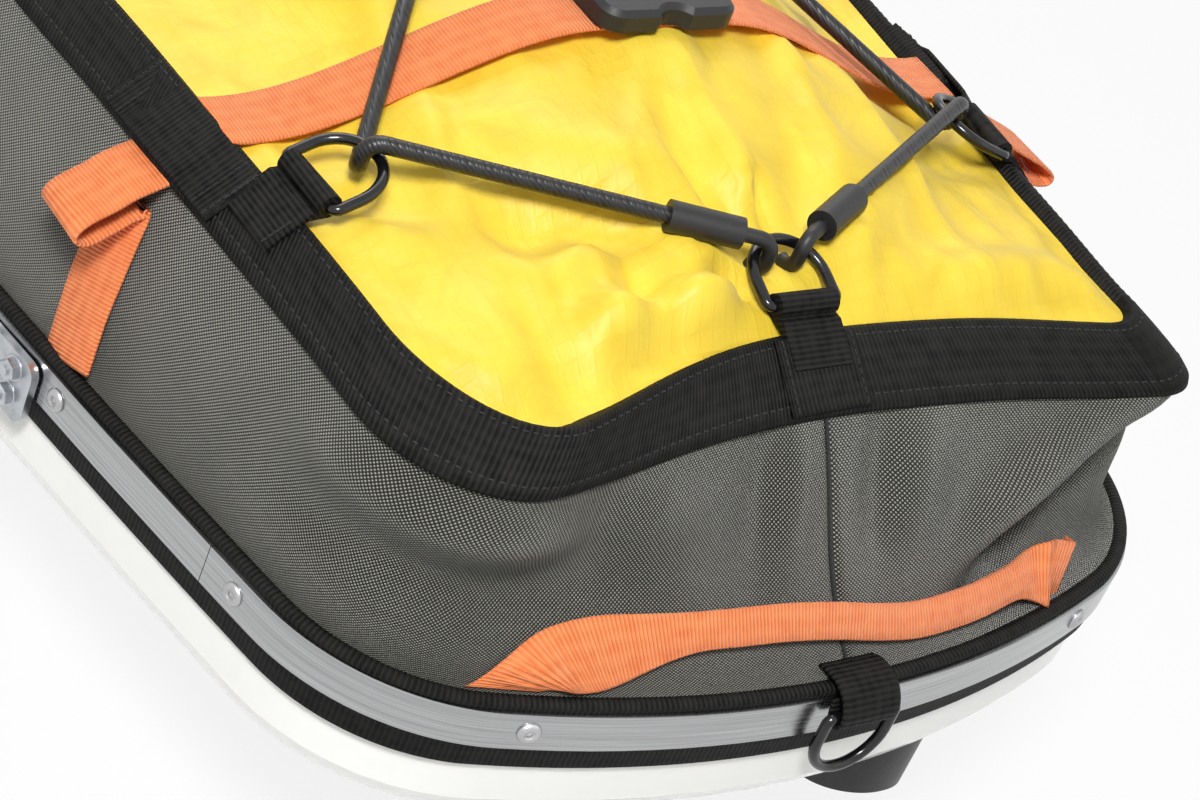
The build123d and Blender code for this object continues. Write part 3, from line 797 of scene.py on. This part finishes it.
def cover_plain(u, v):
    """Place of the cover at (-1..1, -1..1) before its folds, and its distance from the hem."""
    x, y = u * 640.0, 0.0
    for _ in range(4):
        y = v * half_breadth("hem_top", x)
        x = u * end_place("hem_top", y)
    side, end = half_breadth("hem_top", x) - abs(y), end_place("hem_top", y) - abs(x)
    corner = CORNERS["hem_top"][(0 if x > 0 else 1) if y > 0 else (3 if x > 0 else 2)] + 4.0
    if side < corner and end < corner:
        far = math.hypot(corner - side, corner - end)
        if far > corner:
            pull = 1 - corner / far
            x -= math.copysign((corner - end) * pull, x)
            y -= math.copysign((corner - side) * pull, y)
            side, end = corner - (corner - side) * (1 - pull), corner - (corner - end) * (1 - pull)
    plain = Vector((x, y, RIM + TOP_RISE))
    point = settle(plain, True).lerp(plain, smooth(0.0, 70.0, min(side, end)))
    point.z += dome(side, end)
    return point, side, end


def cover_fold(p, side, end):
    """Folds of the slack cover: pleats at the hem, rays from the drawn rings, long soft creases."""
    edge = min(side, end)
    hold = smooth(0.0, 18.0, edge)
    warp = 18.0 * rough(p.x * 0.009, p.y * 0.009, 3.0)
    out = 2.2 * rough(p.x * 0.011, p.y * 0.011, 2.0)
    crease = 1 - 2.4 * abs(rough((p.x + warp) * 0.006 + p.y * 0.011, p.y * 0.016 - p.x * 0.003, 9.0))
    out += 6.4 * max(0.0, crease) ** 2 - 2.2
    fine = 1 - 2.6 * abs(rough(p.x * 0.017 - p.y * 0.010, (p.y + warp) * 0.024, 21.0))
    out += 2.8 * max(0.0, fine) ** 2 - 0.9
    for sign in (1, -1):
        ahead, turned = sign * (sign * 628.0 - p.x), sign * p.y
        reach, lie = math.hypot(ahead, turned), math.atan2(turned, ahead + 1e-6)
        rays = math.sin(lie * 8.0 + 0.6 + 1.5 * rough(p.x * 0.012, p.y * 0.012, 1.0))
        out += (6.5 if turned < 0 else 3.5) * rays * bump(reach, 66.0, 50.0)
    for x in RINGS:
        reach, lie = math.hypot(p.x - x, side + 8.0), math.atan2(p.x - x, side + 8.0)
        out += 2.2 * math.sin(lie * 7.0 + x) * bump(reach, 40.0, 34.0)
    if end < 120:
        lie = p.y * math.copysign(1.0, p.x)
        pleat = math.sin(lie * 0.15 + 2.0 * rough(lie * 0.03, p.x * 0.02, 5.0))
        out += 4.5 * pleat * bump(end, 24.0, 24.0) * (1 - smooth(-30.0, 20.0, lie))
        out += 8.0 * bump(end, 20.0, 14.0) * smooth(20.0, 60.0, lie)
        off = -lie - 20.0
        deep = smooth(-10.0, 10.0, off) * (1 - smooth(55.0, 90.0, off))
        for start, spread, size in HEM_PLEATS:
            out += size * bump(end, start + spread * off, 5.5) * deep
    return out * hold - 1.5 * bump(edge, 12.0, 10.0)


def build_cover():
    points, room = [], []
    for i in range(COVER_X + 1):
        for j in range(COVER_Y + 1):
            p, side, end = cover_plain(-1 + 2 * i / COVER_X, -1 + 2 * j / COVER_Y)
            p.z += cover_fold(p, side, end) - 2.0
            points.append(p)
            room.append(headroom(p.x, p.y) - 0.9)
    wide = COVER_Y + 1
    for _ in range(5):
        kept = list(room)
        for i in range(1, COVER_X):
            for j in range(1, COVER_Y):
                at = i * wide + j
                beside = min(kept[at - 1], kept[at + 1]) + 1.6
                ahead = min(kept[at - wide], kept[at + wide]) + 2.2
                room[at] = min(kept[at], beside, ahead)
    for p, limit in zip(points, room):
        p.z = min(p.z, limit, strap_over(p.x, p.y))
    faces, _ = grid_faces(COVER_X + 1, wide)
    uvs = [[(points[index].x * MM, points[index].y * MM) for index in face] for face in faces]
    piece = mesh_piece("snow_cover", points, faces, uvs, RIPSTOP, ("cover",), closed=False)
    thicken(piece, COVER_THICK)


build_cover()


# Straps

WALL_TREE = BVHTree.FromPolygons(wall_points, wall_faces)
PLEAT = (  # reach out of the wall, rise
    (7.0, 2.0), (17.0, 0.2), (27.0, -0.8), (32.5, 1.6), (33.0, 4.6), (28.0, 7.0), (17.0, 8.6), (8.0, 10.4),
)


def on_wall(x, side, t, proud):
    """Place on the bag's side, at a share of the wall's height."""
    wide = half_breadth("rim", x) * (1 - t) + half_breadth("hem_low", x) * t
    near, normal, _, _ = WALL_TREE.find_nearest(Vector((x, side * wide, RIM + 2.0 + 66.0 * t)))
    return near + normal * (proud if normal.y * side > 0 else -proud)


def strap_half(x, side):
    """Half a strap: up from its foot on the rim, out and back in a slack pleat, under the hem and in."""
    foot = x + math.copysign(20.0, x)
    shares = (0.0, 0.2, 0.4, 0.6, 0.8, 1.0)
    climb = [on_wall(foot + (x - foot) * t, side, 0.02 + 0.78 * t, 1.0) for t in shares]
    low, top, up, _ = hem_place(x, side, 0)
    out = Vector((math.copysign(0.10, x), side * 0.92, -0.24 if side < 0 else -0.32)).normalized()
    long = 0.8 if side < 0 else 1.6
    pleat = [climb[-1] + out * (reach * long) + UP * rise for reach, rise in PLEAT]
    inside = [low.lerp(top, 0.12) + up * 0.6, low.lerp(top, 0.6) + up * 0.7, top + up * 0.7 + UP * 0.4]
    return spline(climb + pleat + inside, 84) + STRAP_LINES[x, side][1:]


for name, x in zip(STRAP_NAMES, STRAPS):
    strap = Pieces()
    left, right = strap_half(x, -1), strap_half(x, 1)
    strap.band(banded(left + right[-2::-1], Vector((1, 0, 0))), WEBBING, WEBBING_THICK)
    strap.piece("strap_" + name + "_webbing", ORANGE, "strap", ("strap_" + name,))


# Carrying handles: flat at their feet, folded in half along the grip

HANDLE = (  # distance to the side, rise over the rim, proud of the wall
    (-130.0, 1.8, 0.8), (-120.0, 4.4, 2.2), (-107.0, 7.3, 4.2), (-92.0, 11.0, 6.0), (-78.0, 14.5, 7.0),
    (-62.0, 17.0, 8.0), (-45.0, 17.5, 8.0), (-25.0, 17.5, 8.0), (-5.0, 16.0, 8.0), (13.0, 13.5, 8.0),
    (30.0, 11.5, 8.0), (47.0, 11.0, 8.0), (62.0, 11.0, 8.0), (75.0, 11.6, 8.0), (86.0, 11.8, 8.0),
    (96.0, 10.6, 7.0), (104.0, 9.2, 6.0), (112.0, 7.4, 5.0), (119.0, 5.4, 4.0),
)
HANDLE_STEPS = 102


def handle_place(y, rise, proud):
    """Place before the plain wall of the front end, with its rise over the rim."""
    if rise < SKIRT_RISE:
        back = rise * SKIRT_BACK / SKIRT_RISE
    else:
        back = SKIRT_BACK + (rise - SKIRT_RISE) * (LOW_BACK - SKIRT_BACK) / (LOW_RISE - SKIRT_RISE)
    return Vector((end_place("rim", y) - back + proud, y, rise))


def clear_of_wall(place, face):
    """How far a place lies inside the wall's cloth, along the face direction."""
    hit = WALL_TREE.ray_cast(place + face * 40.0, -face, 80.0)[0]
    return (hit - place).dot(face) if hit else -40.0


def handle_band(end):
    """Frames, widths and thicknesses of a handle that lies on the wall, its last end folded back."""
    path = spline([handle_place(*row) for row in HANDLE], HANDLE_STEPS)
    last = HANDLE_STEPS
    frames, wide, deep, lifts = [], [], [], []
    for i, point in enumerate(path):
        share = i / last
        run = (path[min(i + 1, last)] - path[max(i - 1, 0)]).normalized()
        lie = math.asin(point.y / END_RADIUS)
        tilt = 0.65 - 0.45 * smooth(0.80, 0.96, share)
        face = Vector((math.cos(lie) * 0.76, math.sin(lie) * 0.76, tilt)).normalized()
        across = face.cross(run).normalized()
        foot = Vector((math.sin(lie), -math.cos(lie), 0))
        across = foot.lerp(across, smooth(0.0, 0.16, share)).normalized()
        grip = smooth(0.12, 0.30, share) * (1 - smooth(0.74, 0.90, share))
        place = Vector((end * point.x, end * point.y, RIM + point.z))
        turned = Vector((end * across.x, end * across.y, across.z))
        up = Vector((end * face.x, end * face.y, face.z))
        wide.append(WEBBING * (1 - 0.5 * grip))
        sunk = 0.8 - point.z + abs(turned.z) * wide[-1] / 2
        climb = 0.5 * (sunk + math.hypot(sunk, 3.0)) * (1 - smooth(0.3, 0.5, share))
        place += Vector((-1.6 * end * math.cos(lie), -1.6 * end * math.sin(lie), 1.0)) * climb
        frames.append((place, turned, up))
        deep.append(1.6 + 1.8 * grip)
        edges = [place + turned * (part * wide[-1]) for part in (-0.5, 0, 0.5)]
        lifts.append(max(0.0, 1.0 + max(clear_of_wall(edge, up) for edge in edges)))
    for _ in range(6):
        pairs = [lifts[max(i - 1, 0)] + lifts[min(i + 1, last)] for i in range(last + 1)]
        lifts = [max(lift, 0.5 * pair) for lift, pair in zip(lifts, pairs)]
    raised = []
    for i, ((place, turned, up), lift) in enumerate(zip(frames, lifts)):
        lift *= smooth(0.0, 0.07, i / last)
        lift -= (lift + 8.0) * smooth(0.95, 1.0, i / last)
        raised.append((place + up * lift, turned, up))
    return raised, wide, deep


for name, end in ENDS:
    grip = Pieces()
    grip.band(*handle_band(end))
    grip.piece("handle_" + name + "_webbing", ORANGE, "strap", ("handle_" + name,))


# Loops of webbing over the rim that hold the hanging rings

BAR_OUT, BAR_DROP, BAR_TURN = STRIP_OUTER + 0.3 + 4.3, -4.0, 2.4
OVER_RIM = [(-8.0, 3.6), (-5.0, 5.2), (-1.0, 5.9), (3.0, 5.6), (6.8, 3.9), (9.4, 1.0), (10.7, -1.8)]
ROUND_BAR = [
    (BAR_OUT + BAR_TURN * math.cos(turn), BAR_DROP + BAR_TURN * math.sin(turn))
    for turn in (0.0, -0.6, -1.2, -1.8, -2.4, -3.1)
]
BACK_UP = [(5.6, -1.5), (5.2, 1.0)]

for name, end in ENDS:
    path = OVER_RIM + ROUND_BAR + BACK_UP
    points = spline([Vector((end * (HALF_LENGTH + out), 0, RIM + rise)) for out, rise in path], 56)
    loop = Pieces()
    loop.band(banded(points, Vector((0, -end, 0))), WEBBING, WEBBING_THICK)
    loop.piece("rim_loop_" + name + "_webbing", BLACK, "tape", ("rim_loop_" + name,))

hem_loops = NODES["hem_loops"]
layer = hem_loops.data.uv_layers.active or hem_loops.data.uv_layers.new(name="UVMap")
for corner, uv in zip(hem_loops.data.loops, layer.data):
    p = hem_loops.matrix_world @ hem_loops.data.vertices[corner.vertex_index].co
    along, across = (abs(p.x), p.y) if abs(p.x) > 0.6 else (abs(p.y), p.x)
    uv.uv = (0.7 * (p.z - along), across)


# Rivets of the strip and bolts of the brackets

RIVET_SHAPE = (  # radius, height
    (4.2, -0.2), (4.1, 0.5), (3.4, 1.2), (2.3, 1.6), (1.8, 1.5), (1.6, 0.9), (1.0, 0.8), (0.8, 1.2),
    (0.0, 1.3),
)
WASHER_SHAPE = ((4.9, -0.3), (4.9, 0.5), (4.6, 0.8), (0.0, 0.8))
BOLT_SHAPE = ((4.2, 0.0), (4.2, 2.6), (3.5, 3.1), (2.0, 3.1), (2.0, 3.9), (0.0, 4.0))
SIDE_RIVETS = (628.0, 532.0, 412.0, 314.0, 209.0, 105.0, 0.0, -105.0, -209.0, -314.0, -419.0, -523.0, -628.0)
END_RIVET, BRACKET_BOLT, BRACKET_THICK = 120.0, 513.0, 3.3


def side_of_rim(x, side, drop):
    """Place on the rim's side and the level direction out of it."""
    wide = half_breadth("rim", x)
    away = Vector((x, side * (wide - HALF_BEAM + SIDE_RADIUS), 0)).normalized()
    return Vector((x, side * wide, RIM - drop)), away


rivets, bolts = Pieces(), Pieces()
for x in SIDE_RIVETS:
    for side in (-1, 1):
        place, away = side_of_rim(x, side, STRIP_MIDDLE)
        rivets.turned(place + away * STRIP_OUTER, away, RIVET_SHAPE, 20)
for y in (-END_RIVET, END_RIVET):
    for end in (-1, 1):
        place = Vector((end * end_place("rim", y), y, RIM - STRIP_MIDDLE))
        away = Vector((end * math.sqrt(END_RADIUS**2 - y * y), y, 0)).normalized()
        rivets.turned(place + away * STRIP_OUTER, away, RIVET_SHAPE, 20)
for side in (-1, 1):
    for drop in (8.5, 19.0):
        place, away = side_of_rim(BRACKET_BOLT, side, drop)
        place += away * (STRIP_OUTER + BRACKET_THICK)
        bolts.turned(place, away, WASHER_SHAPE, 24)
        bolts.turned(place + away * 0.7, away, BOLT_SHAPE, 6)
rivets.piece("strip_rivets", RIVET, "zinc")
bolts.piece("bracket_bolts", ZINC, "zinc", flat=True)


# Camera, floor and light


def camera_axes(azimuth, elevation, roll):
    """Right, up and back directions of the camera, from angles in degrees."""
    a, e, r = (math.radians(v) for v in (azimuth, elevation, roll))
    back = Vector((math.cos(e) * math.cos(a), math.cos(e) * math.sin(a), math.sin(e)))
    level = Vector((-math.sin(a), math.cos(a), 0))
    above = back.cross(level)
    right = level * math.cos(r) + above * math.sin(r)
    return right, above * math.cos(r) - level * math.sin(r), back


def seen_white(tree, shader, share):
    """Mix of a shader with plain white where the camera, metal or glass looks at it."""
    path = add(tree, "ShaderNodeLightPath")
    rays = [path.outputs[kind] for kind in ("Is Camera Ray", "Is Glossy Ray", "Is Transmission Ray")]
    seen = maths(tree, "MAXIMUM", maths(tree, "MAXIMUM", rays[0], rays[1]), rays[2])
    white = add(tree, "ShaderNodeEmission", {"Color": (1, 1, 1, 1), "Strength": 1.0})
    factor = maths(tree, "MULTIPLY", seen, share)
    return add(tree, "ShaderNodeMixShader", {0: factor, 1: shader, 2: white.outputs[0]}).outputs[0]


camera = bpy.data.objects.new("camera", bpy.data.cameras.new("camera"))
camera.data.sensor_width, camera.data.lens = 36.0, 96.0
camera.data.clip_start = 0.05
camera_place, camera_angles = (1.2091, -0.6922, 0.7812), (-47.0, 34.5, 23.7)
turned = Matrix(camera_axes(*camera_angles)).transposed().to_4x4()
camera.matrix_world = Matrix.Translation(camera_place) @ turned
scene.collection.objects.link(camera)
scene.camera = camera

floor_mesh = bpy.data.meshes.new("floor")
floor_mesh.from_pydata([(-9, -9, 0), (9, -9, 0), (9, 9, 0), (-9, 9, 0)], [], [(0, 1, 2, 3)])
floor = bpy.data.objects.new("floor", floor_mesh)
scene.collection.objects.link(floor)
mat, tree, bsdf = nodes_of("floor_white")
settings(bsdf, Base_Color=(0.80, 0.80, 0.80, 1), Roughness=0.9)
shown = seen_white(tree, bsdf.outputs[0], 0.85)
tree.links.new(shown, tree.nodes["Material Output"].inputs["Surface"])
floor_mesh.materials.append(mat)

world = bpy.data.worlds.new("studio")
world.use_nodes = True
tree = world.node_tree
sky = tree.nodes["Background"]
looked = add(tree, "ShaderNodeTexCoord").outputs["Generated"]
rise = add(tree, "ShaderNodeSeparateXYZ", {"Vector": looked}).outputs["Z"]
lifted = maths(tree, "MULTIPLY_ADD", rise, 0.5, 0.5)
stops = [(0.45, (0.22, 0.22, 0.23)), (0.60, (0.30, 0.30, 0.31)), (0.85, (0.80, 0.80, 0.80))]
tree.links.new(ramp(tree, lifted, stops), sky.inputs["Color"])
sky.inputs["Strength"].default_value = 0.34
shown = seen_white(tree, sky.outputs[0], 1.0)
tree.links.new(shown, tree.nodes["World Output"].inputs["Surface"])
scene.world = world

LAMPS = (  # name, place in metres, size, watts
    ("key", (1.4, -1.0, 1.75), 0.45, 39.5),
    ("fill", (1.9, 0.9, 1.0), 1.2, 2.5),
    ("back", (-0.9, 0.5, 1.9), 1.2, 17.0),
)
LIT_PLACE = Vector((0.5, 0, 0.15))
for name, place, size, power in LAMPS:
    lamp = bpy.data.objects.new(name, bpy.data.lights.new(name, "AREA"))
    lamp.data.energy, lamp.data.size = power, size
    lamp.location = place
    aim = LIT_PLACE - lamp.location
    lamp.rotation_euler = aim.to_track_quat("-Z", "Y").to_euler()
    scene.collection.objects.link(lamp)

scene.view_settings.view_transform = "Standard"
